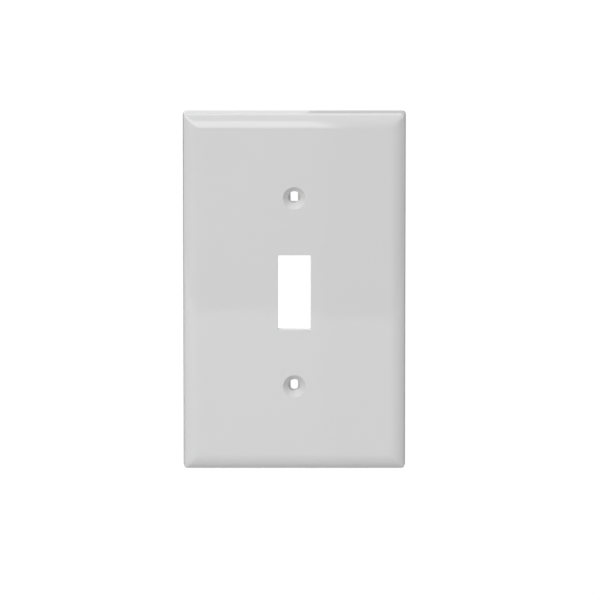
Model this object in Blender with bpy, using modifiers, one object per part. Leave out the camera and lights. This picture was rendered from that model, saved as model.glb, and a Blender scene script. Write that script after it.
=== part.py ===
"""One-gang toggle switch wall plate of standard size, with a retainer pressed in behind each screw hole.

Frame: +Z up the long side, +X right seen from the front, the front faces -Y. The origin is the centre of
the plate on the wall plane, so every piece lies at y <= 0. All sizes are in metres.
"""

import math

import bmesh
import bpy
from mathutils import Vector

INCH = 0.0254

# Overall size
PLATE_WIDTH = 2.75 * INCH
PLATE_HEIGHT = 4.5 * INCH
PLATE_DEPTH = 0.22 * INCH

# Moulded shell: a flat face, an arced bevel round it and a drafted rim that reaches the wall
FACE_WALL = 0.0020
RIM_WALL = 0.0018
RIM_DRAFT = 0.00025  # how far the rim's outer side leans in between the wall and the bevel
BEVEL_RUN = 0.0048
BEVEL_DROP = 0.00175
EDGE_CORNER_RADIUS = 0.0010
FACE_CORNER_RADIUS = 0.0006
HOLLOW_CORNER_RADIUS = 0.0008

# Opening for the switch's toggle
OPENING_WIDTH = 13 / 32 * INCH
OPENING_HEIGHT = 15 / 16 * INCH

# Two screw holes for number 6 oval-head screws
SCREW_SPACING = 2.375 * INCH
COUNTERSINK_DIAMETER = 0.0071
COUNTERSINK_ANGLE = math.radians(82)
BORE_DIAMETER = 0.0037
BOSS_WALL = 0.0014

# Stiffening on the back: a collar round the opening and ribs from it to the rim
BACK_CLEAR = 0.0012  # the bosses stop this far short of the wall, to leave room for the switch's strap
RIB_STEP = 0.0004  # and the collar and ribs stop this far below the bosses
COLLAR_MARGIN = 0.0014
COLLAR_WALL = 0.0011
RIB_WALL = 0.0010

# Retainers: thin discs pressed into the bosses, each with an upright slot that grips the screw's thread
RETAINER_DIAMETER = 0.0074
RETAINER_THICKNESS = 0.0007
SLOT_WIDTH = 0.0023
SLOT_HEIGHT = 0.0034
UPPER_SLOT_CORNER_RADIUS = 0.0003
LOWER_SLOT_CORNER_RADIUS = 0.0009

CLEARANCE = 0.0003  # between a retainer and its recess
OVERLAP = 0.0005  # how far a joined shape runs into its neighbour
OVERSHOOT = 0.001  # how far a cutter runs past the surface it opens

# Smoothness of the round stretches
CORNER_STEPS = 5
BEVEL_STEPS = 6
HOLLOW_STEPS = 3
ROUND_STEPS = 48
MERGE_DISTANCE = 0.00001
SHARP_ANGLE = math.radians(30)

# The arced bevel is a circle that touches the flat face where the bevel begins
BEVEL_RADIUS = (BEVEL_RUN**2 + BEVEL_DROP**2) / (2 * BEVEL_DROP)
FACE_BACK = -(PLATE_DEPTH - FACE_WALL)
COUNTERSINK_DEPTH = (COUNTERSINK_DIAMETER - BORE_DIAMETER) / 2 / math.tan(COUNTERSINK_ANGLE / 2)
RECESS_RADIUS = RETAINER_DIAMETER / 2 + CLEARANCE
BOSS_RADIUS = RECESS_RADIUS + BOSS_WALL


def clear_scene():
    for item in list(bpy.data.objects):
        bpy.data.objects.remove(item, do_unlink=True)


def new_collection(name):
    collection = bpy.data.collections.new(name)
    bpy.context.scene.collection.children.link(collection)
    return collection


def plastic(name, colour, roughness):
    material = bpy.data.materials.new(name)
    material.use_nodes = True
    surface = material.node_tree.nodes["Principled BSDF"]
    surface.inputs["Base Color"].default_value = (*colour, 1.0)
    surface.inputs["Roughness"].default_value = roughness
    surface.inputs["Metallic"].default_value = 0.0
    return material


def rounded_rectangle(half_width, half_height, radius, y):
    """Points round an upright rectangle with arced corners, at one distance y from the wall."""
    points = []
    for corner, (side_x, side_z) in enumerate(((1, 1), (-1, 1), (-1, -1), (1, -1))):
        for step in range(CORNER_STEPS + 1):
            turn = math.radians(90) * (corner + step / CORNER_STEPS)
            x = side_x * (half_width - radius) + radius * math.cos(turn)
            z = side_z * (half_height - radius) + radius * math.sin(turn)
            points.append(Vector((x, y, z)))
    return points


def plate_ring(inset, radius, y):
    """The plate's outline moved inwards by inset."""
    return rounded_rectangle(PLATE_WIDTH / 2 - inset, PLATE_HEIGHT / 2 - inset, radius, y)


def add_object(name, mesh, collection, material=None):
    item = bpy.data.objects.new(name, mesh)
    collection.objects.link(item)
    if material:
        mesh.materials.append(material)
    else:
        item.hide_render = True
        item.display_type = "WIRE"
    return item


def mesh_from(shape, name):
    bmesh.ops.recalc_face_normals(shape, faces=shape.faces)
    mesh = bpy.data.meshes.new(name)
    shape.to_mesh(mesh)
    shape.free()
    return mesh


def loft(name, rings):
    """A closed skin over rings that all have the same number of points."""
    shape = bmesh.new()
    loops = [[shape.verts.new(point) for point in ring] for ring in rings]
    for near, far in zip(loops, loops[1:]):
        for index in range(len(near)):
            following = (index + 1) % len(near)
            shape.faces.new((near[index], near[following], far[following], far[index]))
    shape.faces.new(loops[0])
    shape.faces.new(loops[-1])
    return mesh_from(shape, name)


def block(name, width, height, near, far):
    """A box centred on the plate's axis that reaches from y = near to y = far."""
    shape = bmesh.new()
    bmesh.ops.create_cube(shape, size=1.0)
    bmesh.ops.scale(shape, vec=(width, far - near, height), verts=shape.verts)
    bmesh.ops.translate(shape, vec=(0, (near + far) / 2, 0), verts=shape.verts)
    return mesh_from(shape, name)


def turned(name, profile, collection, material=None):
    """Turn (radius, distance from the wall) points, front to back, round a line square to the wall."""
    mesh = bpy.data.meshes.new(name)
    points = [(radius, 0, distance) for radius, distance in profile]
    mesh.from_pydata(points, [(i, i + 1) for i in range(len(points) - 1)], [])
    item = add_object(name, mesh, collection, material)
    item.rotation_euler = (math.radians(90), 0, 0)
    turn = item.modifiers.new("turn", "SCREW")
    turn.steps = ROUND_STEPS
    turn.render_steps = ROUND_STEPS
    turn.use_merge_vertices = True
    turn.merge_threshold = MERGE_DISTANCE
    return item


def mirrored_pair(item, plate):
    """Put a turned shape at the upper screw and its mirror image at the lower one."""
    item.location.z = SCREW_SPACING / 2
    mirror = item.modifiers.new("lower screw", "MIRROR")
    mirror.use_axis = (False, False, True)
    mirror.mirror_object = plate
    mirror.use_mirror_merge = False
    return item


def combine(target, operation, other):
    step = target.modifiers.new(f"{operation.lower()} {other.name}", "BOOLEAN")
    step.operation = operation
    step.object = other
    step.solver = "EXACT"


def shade(item):
    item.data.shade_smooth()
    item.data.set_sharp_from_angle(angle=SHARP_ANGLE)


def shell_rings():
    """Outside of the plate: straight drafted rim, then the arced bevel up to the flat face."""
    rings = [plate_ring(0, EDGE_CORNER_RADIUS, 0)]
    last_turn = math.asin(BEVEL_RUN / BEVEL_RADIUS)
    for step in range(BEVEL_STEPS + 1):
        turn = last_turn * (1 - step / BEVEL_STEPS)
        outward = BEVEL_RADIUS * math.sin(turn)
        drop = BEVEL_RADIUS * (1 - math.cos(turn))
        inset = RIM_DRAFT + BEVEL_RUN - outward
        corner = FACE_CORNER_RADIUS + (EDGE_CORNER_RADIUS - FACE_CORNER_RADIUS) * outward / BEVEL_RUN
        rings.append(plate_ring(inset, corner, drop - PLATE_DEPTH))
    return rings


def hollow_rings():
    """Inside of the plate, one wall behind the outside, with its own draft so that it leaves the mould."""
    front_inset = RIM_WALL + 2 * RIM_DRAFT
    radius = BEVEL_RADIUS - FACE_WALL
    last_turn = math.asin((RIM_DRAFT + BEVEL_RUN - front_inset) / radius)
    side_front = FACE_BACK + radius * (1 - math.cos(last_turn))
    past_wall = RIM_WALL - 2 * RIM_DRAFT * OVERSHOOT / -side_front
    rings = [plate_ring(past_wall, HOLLOW_CORNER_RADIUS, OVERSHOOT)]
    for step in range(HOLLOW_STEPS + 1):
        turn = last_turn * (1 - step / HOLLOW_STEPS)
        inset = RIM_DRAFT + BEVEL_RUN - radius * math.sin(turn)
        drop = radius * (1 - math.cos(turn))
        rings.append(plate_ring(inset, HOLLOW_CORNER_RADIUS, FACE_BACK + drop))
    return rings


def screw_hole_profile():
    """Countersink, bore and the wider recess that takes a retainer from behind, front to back."""
    bore = BORE_DIAMETER / 2
    seat = BACK_CLEAR + RETAINER_THICKNESS + CLEARANCE
    flare = COUNTERSINK_DIAMETER / 2 + OVERSHOOT * math.tan(COUNTERSINK_ANGLE / 2)
    return [
        (0, PLATE_DEPTH + OVERSHOOT),
        (flare, PLATE_DEPTH + OVERSHOOT),
        (bore, PLATE_DEPTH - COUNTERSINK_DEPTH),
        (bore, seat),
        (RECESS_RADIUS, seat),
        (RECESS_RADIUS, BACK_CLEAR - OVERSHOOT),
        (0, BACK_CLEAR - OVERSHOOT),
    ]


def boss_profile():
    front = PLATE_DEPTH - FACE_WALL + OVERLAP
    return [(0, front), (BOSS_RADIUS, front), (BOSS_RADIUS, BACK_CLEAR), (0, BACK_CLEAR)]


def add_ribs(plate, cutters):
    """Collar round the opening, upright ribs through the bosses and cross ribs beside the opening."""
    front = FACE_BACK - OVERLAP
    back = -(BACK_CLEAR + RIB_STEP)
    inner_width = OPENING_WIDTH + 2 * COLLAR_MARGIN
    inner_height = OPENING_HEIGHT + 2 * COLLAR_MARGIN
    outer_width = inner_width + 2 * COLLAR_WALL
    outer_height = inner_height + 2 * COLLAR_WALL
    collar = add_object("collar", block("collar", outer_width, outer_height, front, back), cutters)
    well = block("collar_well", inner_width, inner_height, front - OVERSHOOT, back + OVERSHOOT)
    combine(collar, "DIFFERENCE", add_object("collar_well", well, cutters))

    reach_x = PLATE_WIDTH / 2 - RIM_WALL + OVERLAP - outer_width / 2
    reach_z = PLATE_HEIGHT / 2 - RIM_WALL + OVERLAP - outer_height / 2
    combine(plate, "UNION", collar)
    for side, name in ((1, "upper_rib"), (-1, "lower_rib")):
        rib = add_object(name, block(name, RIB_WALL, reach_z + OVERLAP, front, back), cutters)
        rib.location.z = side * (outer_height / 2 + (reach_z - OVERLAP) / 2)
        combine(plate, "UNION", rib)
    for side, name in ((1, "right_rib"), (-1, "left_rib")):
        rib = add_object(name, block(name, reach_x + OVERLAP, RIB_WALL, front, back), cutters)
        rib.location.x = side * (outer_width / 2 + (reach_x - OVERLAP) / 2)
        combine(plate, "UNION", rib)


def build_face_plate(parts, cutters):
    material = plastic("white_plastic", (0.80, 0.80, 0.80), 0.22)
    plate = add_object("face_plate", loft("face_plate", shell_rings()), parts, material)
    combine(plate, "DIFFERENCE", add_object("hollow", loft("hollow", hollow_rings()), cutters))
    add_ribs(plate, cutters)
    opening = block("toggle_opening", OPENING_WIDTH, OPENING_HEIGHT, -PLATE_DEPTH - OVERSHOOT, OVERSHOOT)
    combine(plate, "DIFFERENCE", add_object("toggle_opening", opening, cutters))
    combine(plate, "UNION", mirrored_pair(turned("screw_bosses", boss_profile(), cutters), plate))
    combine(plate, "DIFFERENCE", mirrored_pair(turned("screw_holes", screw_hole_profile(), cutters), plate))
    shade(plate)


def build_retainer(name, side, slot_corner_radius, material, parts, cutters):
    half = RETAINER_DIAMETER / 2
    front = BACK_CLEAR + RETAINER_THICKNESS
    disc = turned(name, [(0, front), (half, front), (half, BACK_CLEAR), (0, BACK_CLEAR)], parts, material)
    slot_rings = [
        rounded_rectangle(SLOT_WIDTH / 2, SLOT_HEIGHT / 2, slot_corner_radius, y)
        for y in (OVERSHOOT - BACK_CLEAR, -front - OVERSHOOT)
    ]
    slot = add_object(f"{name}_slot", loft(f"{name}_slot", slot_rings), cutters)
    disc.location.z = side * SCREW_SPACING / 2
    slot.location.z = disc.location.z
    combine(disc, "DIFFERENCE", slot)
    shade(disc)


def main():
    clear_scene()
    parts = new_collection("wall_plate_cover")
    cutters = new_collection("cutters")
    build_face_plate(parts, cutters)
    nylon = plastic("milky_nylon", (0.72, 0.72, 0.70), 0.40)
    build_retainer("upper_screw_retainer", 1, UPPER_SLOT_CORNER_RADIUS, nylon, parts, cutters)
    build_retainer("lower_screw_retainer", -1, LOWER_SLOT_CORNER_RADIUS, nylon, parts, cutters)


main()
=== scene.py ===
# %% [markdown]
# # A toggle switch plate
# The object is the cover of a one-gang wall switch: a single thin moulding of glossy white
# plastic, with a slotted nylon disc pressed in behind each of its two screw holes. The frame
# already fixes how big each piece is and where it sits. This lesson gives those pieces the surface
# that the hand and eye meet: the long arced bevel, the small rounded edges that a mould always
# leaves, the ribbed back and the gloss.

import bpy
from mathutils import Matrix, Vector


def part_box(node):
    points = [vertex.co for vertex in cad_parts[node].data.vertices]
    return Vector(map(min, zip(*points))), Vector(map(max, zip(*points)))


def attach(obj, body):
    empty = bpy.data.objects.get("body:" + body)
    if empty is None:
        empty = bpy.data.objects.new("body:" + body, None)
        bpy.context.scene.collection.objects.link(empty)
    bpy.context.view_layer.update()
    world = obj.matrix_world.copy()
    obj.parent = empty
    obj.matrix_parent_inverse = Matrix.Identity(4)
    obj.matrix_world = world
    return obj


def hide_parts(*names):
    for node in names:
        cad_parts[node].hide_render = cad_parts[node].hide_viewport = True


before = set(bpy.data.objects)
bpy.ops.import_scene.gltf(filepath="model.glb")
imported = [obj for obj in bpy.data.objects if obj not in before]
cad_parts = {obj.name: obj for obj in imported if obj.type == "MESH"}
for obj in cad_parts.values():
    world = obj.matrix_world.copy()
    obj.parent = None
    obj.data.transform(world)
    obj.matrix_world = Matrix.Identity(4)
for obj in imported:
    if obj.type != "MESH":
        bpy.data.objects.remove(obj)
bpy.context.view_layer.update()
print("pieces in the frame:", ", ".join(sorted(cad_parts)))

# %% [markdown]
# ## Sizes
# A plate like this is drawn once by the mould maker, so every size is a plain number in
# millimetres. The outside, the wall plane and the places of the screws are read from the frame.
# The rest are the mould's own sizes, such as how far the bevel runs, repeated here because a
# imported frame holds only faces. Fillets are the one thing added: 0.1 to 0.4 mm, which is what
# keeps a moulded edge from looking cut.

# %% Sizes read from the frame
import math

import bmesh
import bpy
from mathutils import Vector

MM = 0.001
plate_low, plate_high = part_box("face_plate")
disc_low, disc_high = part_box("upper_screw_retainer")

half_width = plate_high.x
half_height = plate_high.z
face_y = plate_low.y
screw_z = (disc_low.z + disc_high.z) / 2
disc_radius = (disc_high.x - disc_low.x) / 2
boss_y = disc_high.y
print(f"plate {2 * half_width / MM:.2f} x {2 * half_height / MM:.2f} x {-face_y / MM:.2f} mm")
print(f"screws {2 * screw_z / MM:.2f} mm apart, discs {2 * disc_radius / MM:.1f} mm across")

# %% Sizes of the mould
INCH = 25.4 * MM

face_wall = 2.0 * MM
floor_y = face_y + face_wall
rim_wall = 1.8 * MM
rim_draft = 0.25 * MM
bevel_run = 4.8 * MM
bevel_drop = 1.75 * MM
bevel_radius = (bevel_run**2 + bevel_drop**2) / (2 * bevel_drop)
edge_corner = 1.0 * MM
face_corner = 0.6 * MM
hollow_corner = 0.8 * MM

opening_half_width = 13 / 64 * INCH
opening_half_height = 15 / 32 * INCH
opening_corner = 0.3 * MM
collar_margin = 1.4 * MM
collar_wall = 1.1 * MM
rib_width = 1.0 * MM
rib_y = boss_y - 0.4 * MM

countersink_radius = 3.55 * MM
countersink_half_angle = math.radians(41)
bore_radius = 1.85 * MM
recess_gap = 0.3 * MM
boss_wall = 1.4 * MM
slot_half_width = 1.15 * MM
slot_half_height = 1.7 * MM
print(f"the bevel is an arc of {bevel_radius / MM:.2f} mm radius")

# %% [markdown]
# ## Outlines and softened paths
# Nearly everything on the plate is one of two outlines, a rectangle with rounded corners or a
# circle, carried along a path. The path says how far the outline has moved in or out and how deep
# it lies. Each hard corner of a path is swapped for an arc, as a mould maker's cutter would leave
# it. A hold point just before and after each arc keeps the flat stretch beside it flat to the
# light, which matters on gloss.

# %% Two outlines
CORNER_STEPS = 10
CIRCLE_STEPS = 96


def box_outline(half_x, half_z, corner, centre_z=0.0):
    """Points round an upright rectangle with rounded corners, seen from the front."""
    points = []
    for quarter, (side_x, side_z) in enumerate(((1, 1), (-1, 1), (-1, -1), (1, -1))):
        for step in range(CORNER_STEPS + 1):
            turn = math.radians(90) * (quarter + step / CORNER_STEPS)
            x = side_x * (half_x - corner) + corner * math.cos(turn)
            z = side_z * (half_z - corner) + corner * math.sin(turn)
            points.append((x, centre_z + z))
    return points


def circle_outline(radius, centre_x, centre_z):
    """Points round a circle, seen from the front."""
    points = []
    for step in range(CIRCLE_STEPS):
        turn = math.tau * step / CIRCLE_STEPS
        points.append((centre_x + radius * math.cos(turn), centre_z + radius * math.sin(turn)))
    return points


print(f"a circle has {CIRCLE_STEPS} points, a rounded corner {CORNER_STEPS + 1}")

# %% Soften a path
ARC_STEP = math.radians(11)
FEWEST_ARC_STEPS = 3
HOLD = 0.06 * MM
STRAIGHT_ENOUGH = math.radians(1)


def soften(path):
    """Swap each corner of a path for an arc.

    A path is a list of (across, depth, fillet) points. A fillet of 0 leaves the corner sharp.
    """
    spots = [Vector(point[:2]) for point in path]
    smooth = [spots[0]]
    for before, here, after, (_, _, fillet) in zip(spots, spots[1:], spots[2:], path[1:]):
        back, on = (before - here).normalized(), (after - here).normalized()
        bend = math.pi - back.angle(on)
        if fillet == 0 or bend < STRAIGHT_ENOUGH:
            smooth.append(here)
            continue
        reach = fillet * math.tan(bend / 2)
        centre = here + (back + on).normalized() * (fillet / math.cos(bend / 2))
        start, end = here + back * reach, here + on * reach
        steps = max(FEWEST_ARC_STEPS, math.ceil(bend / ARC_STEP))
        smooth.append(start + back * HOLD)
        first, last = (start - centre).normalized(), (end - centre).normalized()
        for step in range(steps + 1):
            smooth.append(centre + fillet * first.slerp(last, step / steps))
        smooth.append(end + on * HOLD)
    smooth.append(spots[-1])
    return smooth


print(f"a quarter circle becomes {math.ceil(math.radians(90) / ARC_STEP)} short flats")

# %% [markdown]
# ## Skins and flats
# A skin joins rings of points that all have the same count, with one quad between each pair. A
# flat fills the level area between an outer ring and the rings of the holes in it. Between them
# they make a closed body with no Boolean on any surface that shows from the front, so its
# reflections run without a break.

# %% Skin and flat helpers
SHARP_ANGLE = math.radians(32)


def add_ring(shape, outline, y):
    return [shape.verts.new((x, y, z)) for x, z in outline]


def add_skin(shape, rings):
    for near, far in zip(rings, rings[1:]):
        for index in range(len(near)):
            following = (index + 1) % len(near)
            shape.faces.new((near[index], near[following], far[following], far[index]))


def add_flat(shape, *rings):
    """Fill the level area inside the first ring and outside the others."""
    edges = []
    for ring in rings:
        for index, point in enumerate(ring):
            pair = (point, ring[(index + 1) % len(ring)])
            edges.append(shape.edges.get(pair) or shape.edges.new(pair))
    bmesh.ops.triangle_fill(shape, edges=edges, use_beauty=True)


def finish_mesh(shape, name):
    """Turn a bmesh into an object, smooth but for its sharp edges."""
    bmesh.ops.recalc_face_normals(shape, faces=shape.faces)
    mesh = bpy.data.meshes.new(name)
    shape.to_mesh(mesh)
    shape.free()
    mesh.shade_smooth()
    mesh.set_sharp_from_angle(angle=SHARP_ANGLE)
    piece = bpy.data.objects.new(name, mesh)
    bpy.context.scene.collection.objects.link(piece)
    return piece


print(f"an edge is drawn sharp where it bends by {math.degrees(SHARP_ANGLE):.0f} degrees or more")

# %% Measure a finished piece
CLOSED_USES = 2


def report(piece):
    """Print how many faces a piece has. In a closed body two faces meet at every edge."""
    uses = {}
    for face in piece.data.polygons:
        for key in face.edge_keys:
            uses[key] = uses.get(key, 0) + 1
    open_edges = [count for count in uses.values() if count != CLOSED_USES]
    print(f"{piece.name}: {len(piece.data.polygons)} faces, {len(open_edges)} open edges")


# %% [markdown]
# ## The plate's edge
# Cut the plate across and its edge reads like a hook: a flat face, a bevel that curves away ever
# more steeply, a short side that leans in so the plate leaves its mould, a narrow land that
# touches the wall, then the hollow's side and the inner curve up to the floor. It is one path, so
# it is modelled as one skin, with the rectangle's corners tightening from 1 mm at the side to
# 0.6 mm on the face. That tightening is what draws the mitre lines at the four corners.

# %% The outer half of the edge
BEVEL_STEPS = 28
BEVEL_FILLET = 0.28 * MM
LAND_FILLET = 0.2 * MM


def outer_edge_path():
    """(inset, depth) points from the flat face, over the bevel and side, to the land."""
    last_turn = math.asin(bevel_run / bevel_radius)
    curve = []
    for step in range(BEVEL_STEPS):
        turn = last_turn * step / BEVEL_STEPS
        inset = rim_draft + bevel_run - bevel_radius * math.sin(turn)
        curve.append(Vector((inset, face_y + bevel_radius * (1 - math.cos(turn)))))
    side = [
        (*curve[-1], 0),
        (rim_draft, face_y + bevel_drop, BEVEL_FILLET),
        (0, 0, LAND_FILLET),
        (rim_wall / 2, 0, 0),
    ]
    return curve[:-1] + soften(side)


outer_path = outer_edge_path()
print(f"outer half of the edge: {len(outer_path)} points")

# %% The inner half of the edge
HOLLOW_STEPS = 10
HOLLOW_FILLET = 0.4 * MM
FIRST_KEPT = 2


def inner_edge_path():
    """(inset, depth) points from the land, down the hollow's side, to the floor."""
    radius = bevel_radius - face_wall
    side_inset = rim_wall + 2 * rim_draft
    last_turn = math.asin((rim_draft + bevel_run - side_inset) / radius)
    curve = []
    for step in range(HOLLOW_STEPS + 1):
        turn = last_turn * (1 - step / HOLLOW_STEPS)
        inset = rim_draft + bevel_run - radius * math.sin(turn)
        curve.append(Vector((inset, floor_y + radius * (1 - math.cos(turn)))))
    side = [
        (rim_wall / 2, 0, 0),
        (rim_wall, 0, LAND_FILLET),
        (*curve[0], HOLLOW_FILLET),
        (*curve[FIRST_KEPT], 0),
    ]
    return soften(side)[1:] + curve[FIRST_KEPT + 1:]


inner_path = inner_edge_path()
print(f"inner half of the edge: {len(inner_path)} points")


# %% Outlines of the outside and of the hollow
def corner_at(inset):
    """Corner radius of the plate's outside at an inset."""
    outward = min(1.0, max(0.0, 1 - (inset - rim_draft) / bevel_run))
    return face_corner + (edge_corner - face_corner) * outward


def plate_outline(inset):
    return box_outline(half_width - inset, half_height - inset, corner_at(inset))


def hollow_outline(inset):
    """The corner goes from the outside's radius to the hollow's as the land is crossed."""
    half_land = rim_wall / 2
    crossed = min(1.0, max(0.0, (inset - half_land) / half_land))
    corner = corner_at(half_land) + (hollow_corner - corner_at(half_land)) * crossed
    return box_outline(half_width - inset, half_height - inset, corner)


outside, inside = corner_at(0), corner_at(outer_path[0].x)
print(f"corners: {outside / MM:.2f} mm outside, {inside / MM:.2f} mm on the face")


# %% [markdown]
# ## Toggle opening and collar
# The opening is a straight slot through the face, and a low collar stands round it on the back to
# stiffen it. One path takes in both: in from the face, through the wall, across the ledge, up and
# over the collar and down to the floor. Its outline is the opening's, moved outwards, so the
# collar's corners come out rounder than the opening's own.

# %% The opening and collar as one path
def opening_path():
    """(outward, depth) points from the face, through the opening, over the collar, to the floor."""
    draft = 0.04 * MM
    lead, trail = 0.5 * MM, 0.6 * MM
    face_fillet, ledge_fillet = 0.22 * MM, 0.12 * MM
    inner_foot, top_fillet, outer_foot = 0.25 * MM, 0.2 * MM, 0.35 * MM
    inner = collar_margin
    outer = collar_margin + collar_wall
    return soften([
        (lead, face_y, 0),
        (0, face_y, face_fillet),
        (draft, floor_y, ledge_fillet),
        (inner, floor_y, inner_foot),
        (inner + draft, rib_y, top_fillet),
        (outer - draft, rib_y, top_fillet),
        (outer, floor_y, outer_foot),
        (outer + trail, floor_y, 0),
    ])


print(f"opening path: {len(opening_path())} points")


# %% [markdown]
# ## Screw holes and bosses
# Each screw hole is a turned shape: a countersink at 82 degrees for an oval-head screw, a plain
# bore, and a wider recess from behind where the retainer sits. The boss round it carries the
# screw's pull to the switch. A profile turned round the hole's line gives all of that at once.

# %% A screw hole and its boss as one path
def screw_hole_path():
    """(radius, depth) points from the face, down the hole, out round the boss, to the floor."""
    lead, trail = 0.5 * MM, 0.7 * MM
    mouth_fillet, cone_fillet, seat_edge = 0.12 * MM, 0.3 * MM, 0.08 * MM
    recess_fillet, lip_fillet, top_fillet, foot = 0.1 * MM, 0.15 * MM, 0.2 * MM, 0.4 * MM
    recess_draft, boss_draft = 0.02 * MM, 0.05 * MM
    cone_depth = (countersink_radius - bore_radius) / math.tan(countersink_half_angle)
    seat_y = disc_low.y - recess_gap
    recess = disc_radius + recess_gap
    boss = recess + boss_wall
    return soften([
        (countersink_radius + lead, face_y, 0),
        (countersink_radius, face_y, mouth_fillet),
        (bore_radius, face_y + cone_depth, cone_fillet),
        (bore_radius, seat_y, seat_edge),
        (recess, seat_y, recess_fillet),
        (recess + recess_draft, boss_y, lip_fillet),
        (boss - boss_draft, boss_y, top_fillet),
        (boss, floor_y, foot),
        (boss + trail, floor_y, 0),
    ])


print(f"screw hole path: {len(screw_hole_path())} points")


# %% [markdown]
# ## Marks of the mould
# A real moulding shows how it was pushed out: round ejector pins leave shallow coins on the floor
# of the hollow, and the runner that fed the plastic leaves a small stub. They are left on the
# back, where nobody looks once the plate is up, but they are what makes a back look moulded and
# not drawn.

# %% Ejector coins and the gate stub
def coin_path():
    """(radius, depth) points of a shallow coin that an ejector pin leaves in the floor."""
    radius, sunk = 2.0 * MM, 0.09 * MM
    lead, draft, cap_inset = 0.25 * MM, 0.02 * MM, 0.35 * MM
    rim_fillet, foot = 0.05 * MM, 0.04 * MM
    return soften([
        (radius + lead, floor_y, 0),
        (radius, floor_y, rim_fillet),
        (radius - draft, floor_y - sunk, foot),
        (radius - cap_inset, floor_y - sunk, 0),
    ])


def gate_path():
    """(radius, depth) points of the short stub left where the plastic was fed in."""
    lead_radius, foot_radius, top_radius, cap_radius = 1.7 * MM, 1.1 * MM, 0.7 * MM, 0.3 * MM
    height, cap_height = 0.7 * MM, 0.62 * MM
    foot, top_fillet = 0.3 * MM, 0.08 * MM
    return soften([
        (lead_radius, floor_y, 0),
        (foot_radius, floor_y, foot),
        (top_radius, floor_y + height, top_fillet),
        (cap_radius, floor_y + cap_height, 0),
    ])


coin_x = 23 * MM
coin_heights = (-44 * MM, -16 * MM, 16 * MM, 44 * MM)
coin_places = [(side * coin_x, z) for side in (-1, 1) for z in coin_heights]
gate_place = (9.5 * MM, -screw_z)
print(f"{len(coin_places)} ejector coins and one gate stub on the floor")


# %% [markdown]
# ## The plate as one closed body
# The edge, the opening, the holes and the marks all end on two level areas: the face and the
# floor. Once their rings are in place, two flats close the body. Each path's first ring lies on
# the face and its last on the floor, apart from the coins and the stub, which begin on the floor
# and end in a small cap.

# %% Build the plate
FLAT_MARGIN = 0.3 * MM


def skin_along(shape, path, outline_at):
    """Carry an outline along a path as one skin, and give back its rings."""
    rings = [add_ring(shape, outline_at(across), depth) for across, depth in path]
    add_skin(shape, rings)
    return rings


def build_plate():
    shape = bmesh.new()
    outer = [add_ring(shape, plate_outline(inset), depth) for inset, depth in outer_path]
    inner = [add_ring(shape, hollow_outline(inset), depth) for inset, depth in inner_path]
    add_skin(shape, outer + inner)

    face_holes, floor_holes = [], []
    rings = skin_along(shape, opening_path(), lambda out: box_outline(
        opening_half_width + out, opening_half_height + out, opening_corner + out))
    face_holes.append(rings[0])
    floor_holes.append(rings[-1])
    for hole_z in (screw_z, -screw_z):
        rings = skin_along(
            shape, screw_hole_path(), lambda radius: circle_outline(radius, 0, hole_z))
        face_holes.append(rings[0])
        floor_holes.append(rings[-1])
    marks = [(coin_path(), place) for place in coin_places] + [(gate_path(), gate_place)]
    for path, place in marks:
        rings = skin_along(shape, path, lambda radius: circle_outline(radius, *place))
        floor_holes.append(rings[0])
        shape.faces.new(rings[-1])

    face_rim = add_ring(shape, plate_outline(outer_path[0].x + FLAT_MARGIN), face_y)
    floor_rim = add_ring(shape, hollow_outline(inner_path[-1].x + FLAT_MARGIN), floor_y)
    add_skin(shape, [face_rim, outer[0]])
    add_skin(shape, [inner[-1], floor_rim])
    add_flat(shape, face_rim, *face_holes)
    add_flat(shape, floor_rim, *floor_holes)
    return finish_mesh(shape, "wall_plate")


plate = build_plate()
report(plate)


# %% [markdown]
# ## Ribs
# Six low ribs tie the collar and bosses to the rim, so that a thin face doesn't drum when a screw
# pulls on it. Each is a bar with a foot that flares into the floor and a rounded top. Their ends
# run into other walls at all sorts of places, so here a Boolean union is the right tool: it is
# what it is good at, and its cuts stay on the back.

# %% The section of a rib
def rib_section():
    """(sideways, depth) points round a rib, from the left foot over the top to the right foot."""
    half = rib_width / 2
    foot, foot_fillet, top_fillet = 0.35 * MM, 0.315 * MM, 0.16 * MM
    sunk, foot_edge, draft = 0.3 * MM, 0.01 * MM, 0.05 * MM
    right = soften([
        (half + foot, floor_y - sunk, 0),
        (half + foot, floor_y - foot_edge, 0),
        (half, floor_y + foot_edge, foot_fillet),
        (half - draft, rib_y, top_fillet),
        (0, rib_y, 0),
    ])[:-1]
    return [Vector((-point.x, point.y)) for point in right] + right[::-1]


def add_bar(shape, start, end, upright):
    """A rib from start to end along its length, upright or lying across the plate."""
    rings = []
    for along in (start, end):
        spots = [(side, y, along) if upright else (along, y, side) for side, y in rib_section()]
        rings.append([shape.verts.new(spot) for spot in spots])
    add_skin(shape, rings)
    shape.faces.new(rings[0])
    shape.faces.new(rings[1])


print(f"a rib stands {(rib_y - floor_y) / MM:.2f} mm above the floor")

# %% Build the ribs and join them to the plate
BITE = 0.45 * MM


def build_ribs():
    """Six bars, each running a short way into the walls that it joins."""
    shape = bmesh.new()
    collar_x = opening_half_width + collar_margin + collar_wall - BITE
    collar_z = opening_half_height + collar_margin + collar_wall - BITE
    boss_reach = disc_radius + recess_gap + boss_wall - BITE
    rim_x = half_width - rim_wall + BITE
    rim_z = half_height - rim_wall + BITE
    for side in (1, -1):
        add_bar(shape, side * collar_z, side * (screw_z - boss_reach), upright=True)
        add_bar(shape, side * (screw_z + boss_reach), side * rim_z, upright=True)
        add_bar(shape, side * collar_x, side * rim_x, upright=False)
    return finish_mesh(shape, "ribs")


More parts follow.
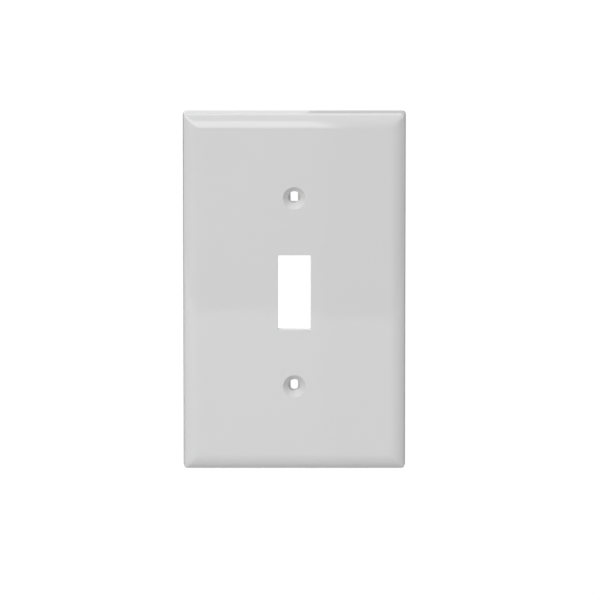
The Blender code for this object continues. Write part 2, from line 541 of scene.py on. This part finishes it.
def join(piece, other):
    """Boolean union of other into piece, applied."""
    union = piece.modifiers.new("join", "BOOLEAN")
    union.operation = "UNION"
    union.solver = "EXACT"
    union.object = other
    ready = piece.evaluated_get(bpy.context.evaluated_depsgraph_get())
    mesh = bpy.data.meshes.new_from_object(ready)
    piece.modifiers.clear()
    piece.data = mesh
    bpy.data.objects.remove(other)


join(plate, build_ribs())
plate.data.set_sharp_from_angle(angle=SHARP_ANGLE)
report(plate)

# %% [markdown]
# ## Retainers
# Behind each screw hole sits a thin disc of natural nylon with an upright slot a little narrower
# than the screw. Its thread cuts into the slot's sides, so the screw stays with the plate while it
# is handled. The upper slot has tight corners and the lower one round ends. A disc is a flat front
# and back with a rounded skin round the outside and another through the slot.

# %% Build the two retainers
DISC_FILLET = 0.12 * MM
SLOT_FILLET = 0.1 * MM
DISC_LEAD = 0.5 * MM
SLOT_LEAD = 0.3 * MM
TIGHT_CORNER = 0.3 * MM
ROUND_CORNER = 0.9 * MM


def wall_path(inner, wall, fillet):
    """(across, depth) points in along the front, back along a wall and in along the back."""
    front, back = disc_low.y, disc_high.y
    return soften([
        (inner, front, 0),
        (wall, front, fillet),
        (wall, back, fillet),
        (inner, back, 0),
    ])


def build_retainer(name, centre_z, slot_corner):
    shape = bmesh.new()
    edge = wall_path(disc_radius - DISC_LEAD, disc_radius, DISC_FILLET)
    slot = wall_path(SLOT_LEAD, 0, SLOT_FILLET)
    outside = skin_along(shape, edge, lambda radius: circle_outline(radius, 0, centre_z))
    inside = skin_along(shape, slot, lambda out: box_outline(
        slot_half_width + out, slot_half_height + out, slot_corner + out, centre_z))
    add_flat(shape, outside[0], inside[0])
    add_flat(shape, outside[-1], inside[-1])
    return finish_mesh(shape, name)


upper_retainer = build_retainer("upper_retainer", screw_z, TIGHT_CORNER)
lower_retainer = build_retainer("lower_retainer", -screw_z, ROUND_CORNER)
report(upper_retainer)
report(lower_retainer)


# %% [markdown]
# ## The skin of a moulding
# Gloss plastic is never a perfect mirror. The polished steel leaves a faint, wide ripple, handling
# leaves hair scratches and a little haze, and the colour drifts by a shade where the melt flowed.
# Both plastics here share those effects in different amounts, so they live in one node group that
# puts out a colour, a roughness and a height. The shader itself stays in each material.

# %% Node helpers
def node(tree, kind, **settings):
    made = tree.nodes.new(kind)
    for key, value in settings.items():
        setattr(made, key, value)
    return made


def add_noise(tree, coordinates, scale, detail, roughness=0.5):
    noise = node(tree, "ShaderNodeTexNoise")
    noise.inputs["Scale"].default_value = scale
    noise.inputs["Detail"].default_value = detail
    noise.inputs["Roughness"].default_value = roughness
    tree.links.new(coordinates, noise.inputs["Vector"])
    return noise.outputs["Fac"]


def add_math(tree, operation, first, second):
    """A Math node whose inputs are sockets or plain numbers."""
    step = node(tree, "ShaderNodeMath", operation=operation)
    for socket, value in zip(step.inputs, (first, second)):
        if isinstance(value, (int, float)):
            socket.default_value = value
        else:
            tree.links.new(value, socket)
    return step.outputs["Value"]


print("helpers ready: node, noise, math")

# %% The group's sockets
moulded_skin = bpy.data.node_groups.new("moulded skin", "ShaderNodeTree")
for name, kind, default in (
    ("Colour", "NodeSocketColor", (0.8, 0.8, 0.8, 1)),
    ("Shade drift", "NodeSocketFloat", 0.02),
    ("Roughness", "NodeSocketFloat", 0.15),
    ("Haze", "NodeSocketFloat", 0.03),
    ("Scratches", "NodeSocketFloat", 0.1),
):
    socket = moulded_skin.interface.new_socket(name, in_out="INPUT", socket_type=kind)
    socket.default_value = default
for name, kind in (
    ("Colour", "NodeSocketColor"),
    ("Roughness", "NodeSocketFloat"),
    ("Height", "NodeSocketFloat"),
):
    moulded_skin.interface.new_socket(name, in_out="OUTPUT", socket_type=kind)
given = node(moulded_skin, "NodeGroupInput").outputs
result = node(moulded_skin, "NodeGroupOutput").inputs
place = node(moulded_skin, "ShaderNodeTexCoord").outputs["Object"]
print("moulded skin takes", ", ".join(socket.name for socket in given if socket.name))

# %% Colour drift and haze
FLOW_SCALE = 45
FLOW_DETAIL = 2
HAZE_SCALE = 160
HAZE_DETAIL = 4
HAZE_ROUGHNESS = 0.6

flow = add_noise(moulded_skin, place, FLOW_SCALE, FLOW_DETAIL)
centred = add_math(moulded_skin, "SUBTRACT", flow, 0.5)
drift = add_math(moulded_skin, "MULTIPLY", centred, given["Shade drift"])
tint = node(moulded_skin, "ShaderNodeHueSaturation")
moulded_skin.links.new(given["Colour"], tint.inputs["Color"])
moulded_skin.links.new(add_math(moulded_skin, "ADD", 1.0, drift), tint.inputs["Value"])
moulded_skin.links.new(tint.outputs["Color"], result["Colour"])

haze = add_noise(moulded_skin, place, HAZE_SCALE, HAZE_DETAIL, HAZE_ROUGHNESS)
hazed = add_math(moulded_skin, "MULTIPLY", haze, given["Haze"])
dulled = add_math(moulded_skin, "ADD", given["Roughness"], hazed)
moulded_skin.links.new(dulled, result["Roughness"])
print(f"colour drifts over {1000 / FLOW_SCALE:.0f} mm, haze over {1000 / HAZE_SCALE:.0f} mm")

# %% Ripple and hair scratches
HAIR_LEAN = math.radians(33)
HAIR_SCALES = (1500, 1500, 60)
HAIR_DETAIL = 1
HAIR_FROM, HAIR_FULL = 0.74, 0.80
RIPPLE_SCALE = 420
RIPPLE_DETAIL = 1

stretched = node(moulded_skin, "ShaderNodeMapping")
stretched.inputs["Rotation"].default_value = (0, HAIR_LEAN, 0)
stretched.inputs["Scale"].default_value = HAIR_SCALES
moulded_skin.links.new(place, stretched.inputs["Vector"])
hairs = add_noise(moulded_skin, stretched.outputs["Vector"], 1.0, HAIR_DETAIL)
thin = node(moulded_skin, "ShaderNodeMapRange")
thin.inputs["From Min"].default_value = HAIR_FROM
thin.inputs["From Max"].default_value = HAIR_FULL
moulded_skin.links.new(hairs, thin.inputs["Value"])
scratches = add_math(moulded_skin, "MULTIPLY", thin.outputs["Result"], given["Scratches"])
ripple = add_noise(moulded_skin, place, RIPPLE_SCALE, RIPPLE_DETAIL)
moulded_skin.links.new(add_math(moulded_skin, "SUBTRACT", ripple, scratches), result["Height"])
print(f"hairs lean {math.degrees(HAIR_LEAN):.0f} degrees, {len(moulded_skin.nodes)} nodes in all")

# %% [markdown]
# ## White plastic and nylon
# The plate is a glossy, neutral white with the usual 4 percent mirror of plastic. The nylon is a
# shade darker, warmer and duller, because natural nylon is milky and its mould isn't polished.

# %% The two materials
PLASTIC_IOR = 1.5


def build_plastic(name, colour, drift, roughness, haze, scratches, ripple_height):
    material = bpy.data.materials.new(name)
    material.use_nodes = True
    tree = material.node_tree
    surface = tree.nodes["Principled BSDF"]
    skin = node(tree, "ShaderNodeGroup", node_tree=moulded_skin)
    skin.inputs["Colour"].default_value = (*colour, 1)
    skin.inputs["Shade drift"].default_value = drift
    skin.inputs["Roughness"].default_value = roughness
    skin.inputs["Haze"].default_value = haze
    skin.inputs["Scratches"].default_value = scratches
    bump = node(tree, "ShaderNodeBump")
    bump.inputs["Strength"].default_value = 1.0
    bump.inputs["Distance"].default_value = ripple_height
    tree.links.new(skin.outputs["Height"], bump.inputs["Height"])
    tree.links.new(skin.outputs["Colour"], surface.inputs["Base Color"])
    tree.links.new(skin.outputs["Roughness"], surface.inputs["Roughness"])
    tree.links.new(bump.outputs["Normal"], surface.inputs["Normal"])
    surface.inputs["IOR"].default_value = PLASTIC_IOR
    return material


white_plastic = build_plastic(
    "white plastic", colour=(0.80, 0.80, 0.80), drift=0.012, roughness=0.026, haze=0.012,
    scratches=0.6, ripple_height=0.0003 * MM)
milky_nylon = build_plastic(
    "milky nylon", colour=(0.66, 0.66, 0.64), drift=0.05, roughness=0.34, haze=0.12,
    scratches=1.0, ripple_height=0.006 * MM)
plate.data.materials.clear()
plate.data.materials.append(white_plastic)
for disc in (upper_retainer, lower_retainer):
    disc.data.materials.append(milky_nylon)
print("materials:", white_plastic.name, "and", milky_nylon.name)

# %% [markdown]
# ## Fixing the pieces to the frame
# The plate has no moving parts, so all three pieces ride on the one body. Each says which frame
# piece it stands for and which finish it takes.

# %% Ride and replace
for piece, stands_for, finish in (
    (plate, "face_plate", "white_plastic"),
    (upper_retainer, "upper_screw_retainer", "milky_nylon"),
    (lower_retainer, "lower_screw_retainer", "milky_nylon"),
):
    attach(piece, "root")
    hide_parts(stands_for)
    print(piece.name, "stands for", stands_for)

# %% [markdown]
# ## Floor and surroundings
# The plate is held up on a wall in use, so the floor lies well below it and catches no shadow near
# it. Floor and surroundings are an even, pale studio white to the eye, but give the plate only a
# soft grey light, so that a white object still stands out from white.

# %% White to the eye
EYE_WHITE = 1.02


def white_to_the_eye(tree, light_shader, output):
    """Show pure white to the camera and pass other rays on to a shader."""
    path = node(tree, "ShaderNodeLightPath")
    mix = node(tree, "ShaderNodeMixShader")
    glow = node(tree, "ShaderNodeEmission")
    glow.inputs["Color"].default_value = (1, 1, 1, 1)
    glow.inputs["Strength"].default_value = EYE_WHITE
    tree.links.new(path.outputs["Is Camera Ray"], mix.inputs["Fac"])
    tree.links.new(light_shader, mix.inputs[1])
    tree.links.new(glow.outputs["Emission"], mix.inputs[2])
    tree.links.new(mix.outputs["Shader"], output)


print(f"background white {EYE_WHITE:.2f}")

# %% Floor
FLOOR_DROP = 260 * MM
FLOOR_SIZE = 6.0
FLOOR_TILES = 12
FLOOR_GREY = 0.36
FLOOR_ROUGHNESS = 0.7


def build_floor():
    shape = bmesh.new()
    bmesh.ops.create_grid(
        shape, x_segments=FLOOR_TILES, y_segments=FLOOR_TILES, size=FLOOR_SIZE / 2)
    floor = finish_mesh(shape, "studio_floor")
    floor.location.z = plate_low.z - FLOOR_DROP
    paint = bpy.data.materials.new("pale floor")
    paint.use_nodes = True
    tree = paint.node_tree
    surface = tree.nodes["Principled BSDF"]
    surface.inputs["Base Color"].default_value = (FLOOR_GREY, FLOOR_GREY, FLOOR_GREY, 1)
    surface.inputs["Roughness"].default_value = FLOOR_ROUGHNESS
    output = tree.nodes["Material Output"].inputs["Surface"]
    white_to_the_eye(tree, surface.outputs["BSDF"], output)
    floor.data.materials.append(paint)


build_floor()
print(f"floor {FLOOR_DROP / MM:.0f} mm below the plate")

# %% Surroundings
FRONT_GREY = 0.19
BACK_GREY = 0.52
BLEND_FROM, BLEND_TO = -0.1, 0.5


def build_world():
    """A dim room in front of the plate and a lit white sweep behind it."""
    world = bpy.data.worlds.new("studio")
    bpy.context.scene.world = world
    world.use_nodes = True
    tree = world.node_tree
    direction = node(tree, "ShaderNodeSeparateXYZ")
    tree.links.new(node(tree, "ShaderNodeTexCoord").outputs["Generated"], direction.inputs[0])
    blend = node(tree, "ShaderNodeMapRange", interpolation_type="SMOOTHSTEP")
    for name, value in (
        ("From Min", BLEND_FROM),
        ("From Max", BLEND_TO),
        ("To Min", FRONT_GREY),
        ("To Max", BACK_GREY),
    ):
        blend.inputs[name].default_value = value
    tree.links.new(direction.outputs["Y"], blend.inputs["Value"])
    air = tree.nodes["Background"]
    tree.links.new(blend.outputs["Result"], air.inputs["Color"])
    output = tree.nodes["World Output"].inputs["Surface"]
    white_to_the_eye(tree, air.outputs["Background"], output)


build_world()
print(f"surroundings {FRONT_GREY:.2f} in front and {BACK_GREY:.2f} behind")


# %% [markdown]
# ## Light
# One large softbox, in front and to the left, does most of the work. It stands upright and its
# right edge is almost level with the plate's middle, so the bright line that it draws along the
# top bevel stops short of the right corner. A dimmer fill on the right lifts the right bevel, an
# overhead box lights the top side, and a box behind, seen at a grazing angle, lightens the left
# part of that side. The back fill is for whoever looks at the ribs. Both fills are hidden from
# mirror rays, so that they leave no picture of themselves in the gloss.

# %% Softboxes
def add_softbox(name, place, aim, width, height, brightness):
    """A rectangular lamp turned to face aim. Brightness 1 is as bright as white paper."""
    lamp = bpy.data.lights.new(name, "AREA")
    lamp.shape = "RECTANGLE"
    lamp.size = width
    lamp.size_y = height
    lamp.energy = math.pi * width * height * brightness
    holder = bpy.data.objects.new(name, lamp)
    bpy.context.scene.collection.objects.link(holder)
    holder.location = place
    holder.rotation_euler = (Vector(aim) - Vector(place)).to_track_quat("-Z", "Y").to_euler()
    holder.visible_camera = False
    return holder


add_softbox("key_softbox", place=(-0.833, -1.708, 0.54), aim=(0, 0, 0.54),
            width=1.913, height=1.21, brightness=2.75)
fill = add_softbox("fill_softbox", place=(0.725, -1.255, 0.40), aim=(0, 0, 0),
                   width=0.80, height=0.60, brightness=1.6)
add_softbox("overhead_softbox", place=(-0.10, -0.60, 1.80), aim=(-0.10, 0, 0),
            width=1.40, height=0.80, brightness=3.0)
add_softbox("behind_softbox", place=(-0.64, 1.40, 0.70), aim=(-0.64, 0, 0.70),
            width=1.30, height=1.30, brightness=0.70)
back_fill = add_softbox("back_fill", place=(-0.60, 1.50, 0.25), aim=(0, 0, 0),
                        width=1.20, height=0.60, brightness=2.4)
for lamp in (fill, back_fill):
    lamp.visible_glossy = False

# %% [markdown]
# ## What the gloss mirrors
# A flat gloss face shows a faint picture of whatever stands in front of it. In a studio that is
# the edge of a table and a screen. Three pale cards stand in for them, close to the plate and
# below the camera's line of sight. They light nothing: only mirror rays meet them, and plastic
# mirrors 4 percent of what it faces.

# %% Cards that only the gloss sees
ELEVATION = math.radians(12)
CARD_DISTANCE = 0.07
card_drop = (CARD_DISTANCE + face_y) * math.tan(ELEVATION)


def add_card(name, left, right, bottom, top, brightness):
    """A card whose edges are given where the face mirrors them, in metres from its middle."""
    middle_x, middle_z = (left + right) / 2, (bottom + top) / 2 - card_drop
    place = (middle_x, -CARD_DISTANCE, middle_z)
    card = add_softbox(name, place, aim=(middle_x, 0, middle_z),
                       width=right - left, height=top - bottom, brightness=brightness)
    card.visible_diffuse = False


seam_x = 9.0 * MM
left_table_top = -5.7 * MM
right_table_top = -8.2 * MM
far_side = 0.20
screen_top = 0.12
add_card("screen_card", left=-far_side, right=seam_x, bottom=left_table_top, top=screen_top,
         brightness=0.26)
add_card("table_card_left", left=-far_side, right=seam_x, bottom=-far_side, top=left_table_top,
         brightness=0.96)
add_card("table_card_right", left=seam_x, right=far_side, bottom=-far_side, top=right_table_top,
         brightness=0.76)
print(f"cards {CARD_DISTANCE / MM:.0f} mm in front of the plate")

# %% [markdown]
# ## Camera
# The plate is seen straight on and a little from above, from far away with a long lens, so that
# its sides stay parallel. The camera aims a touch right of and below the plate's middle.

# %% Camera and view transform
VIEW_WIDTH = 188.7 * MM
LENS = 600.0
SENSOR = 36.0
AIM = Vector((1.79 * MM, 0, -3.60 * MM))
CLIP_MARGIN = 3


def build_camera():
    lens = bpy.data.cameras.new("camera")
    lens.lens = LENS
    lens.sensor_width = SENSOR
    camera = bpy.data.objects.new("camera", lens)
    bpy.context.scene.collection.objects.link(camera)
    distance = VIEW_WIDTH * LENS / SENSOR
    towards_camera = Vector((0, -math.cos(ELEVATION), math.sin(ELEVATION)))
    camera.location = AIM + towards_camera * distance
    camera.rotation_euler = (-towards_camera).to_track_quat("-Z", "Y").to_euler()
    lens.clip_end = CLIP_MARGIN * distance
    bpy.context.scene.camera = camera
    return distance


print(f"camera {build_camera():.2f} m away")
bpy.context.scene.view_settings.view_transform = "Standard"
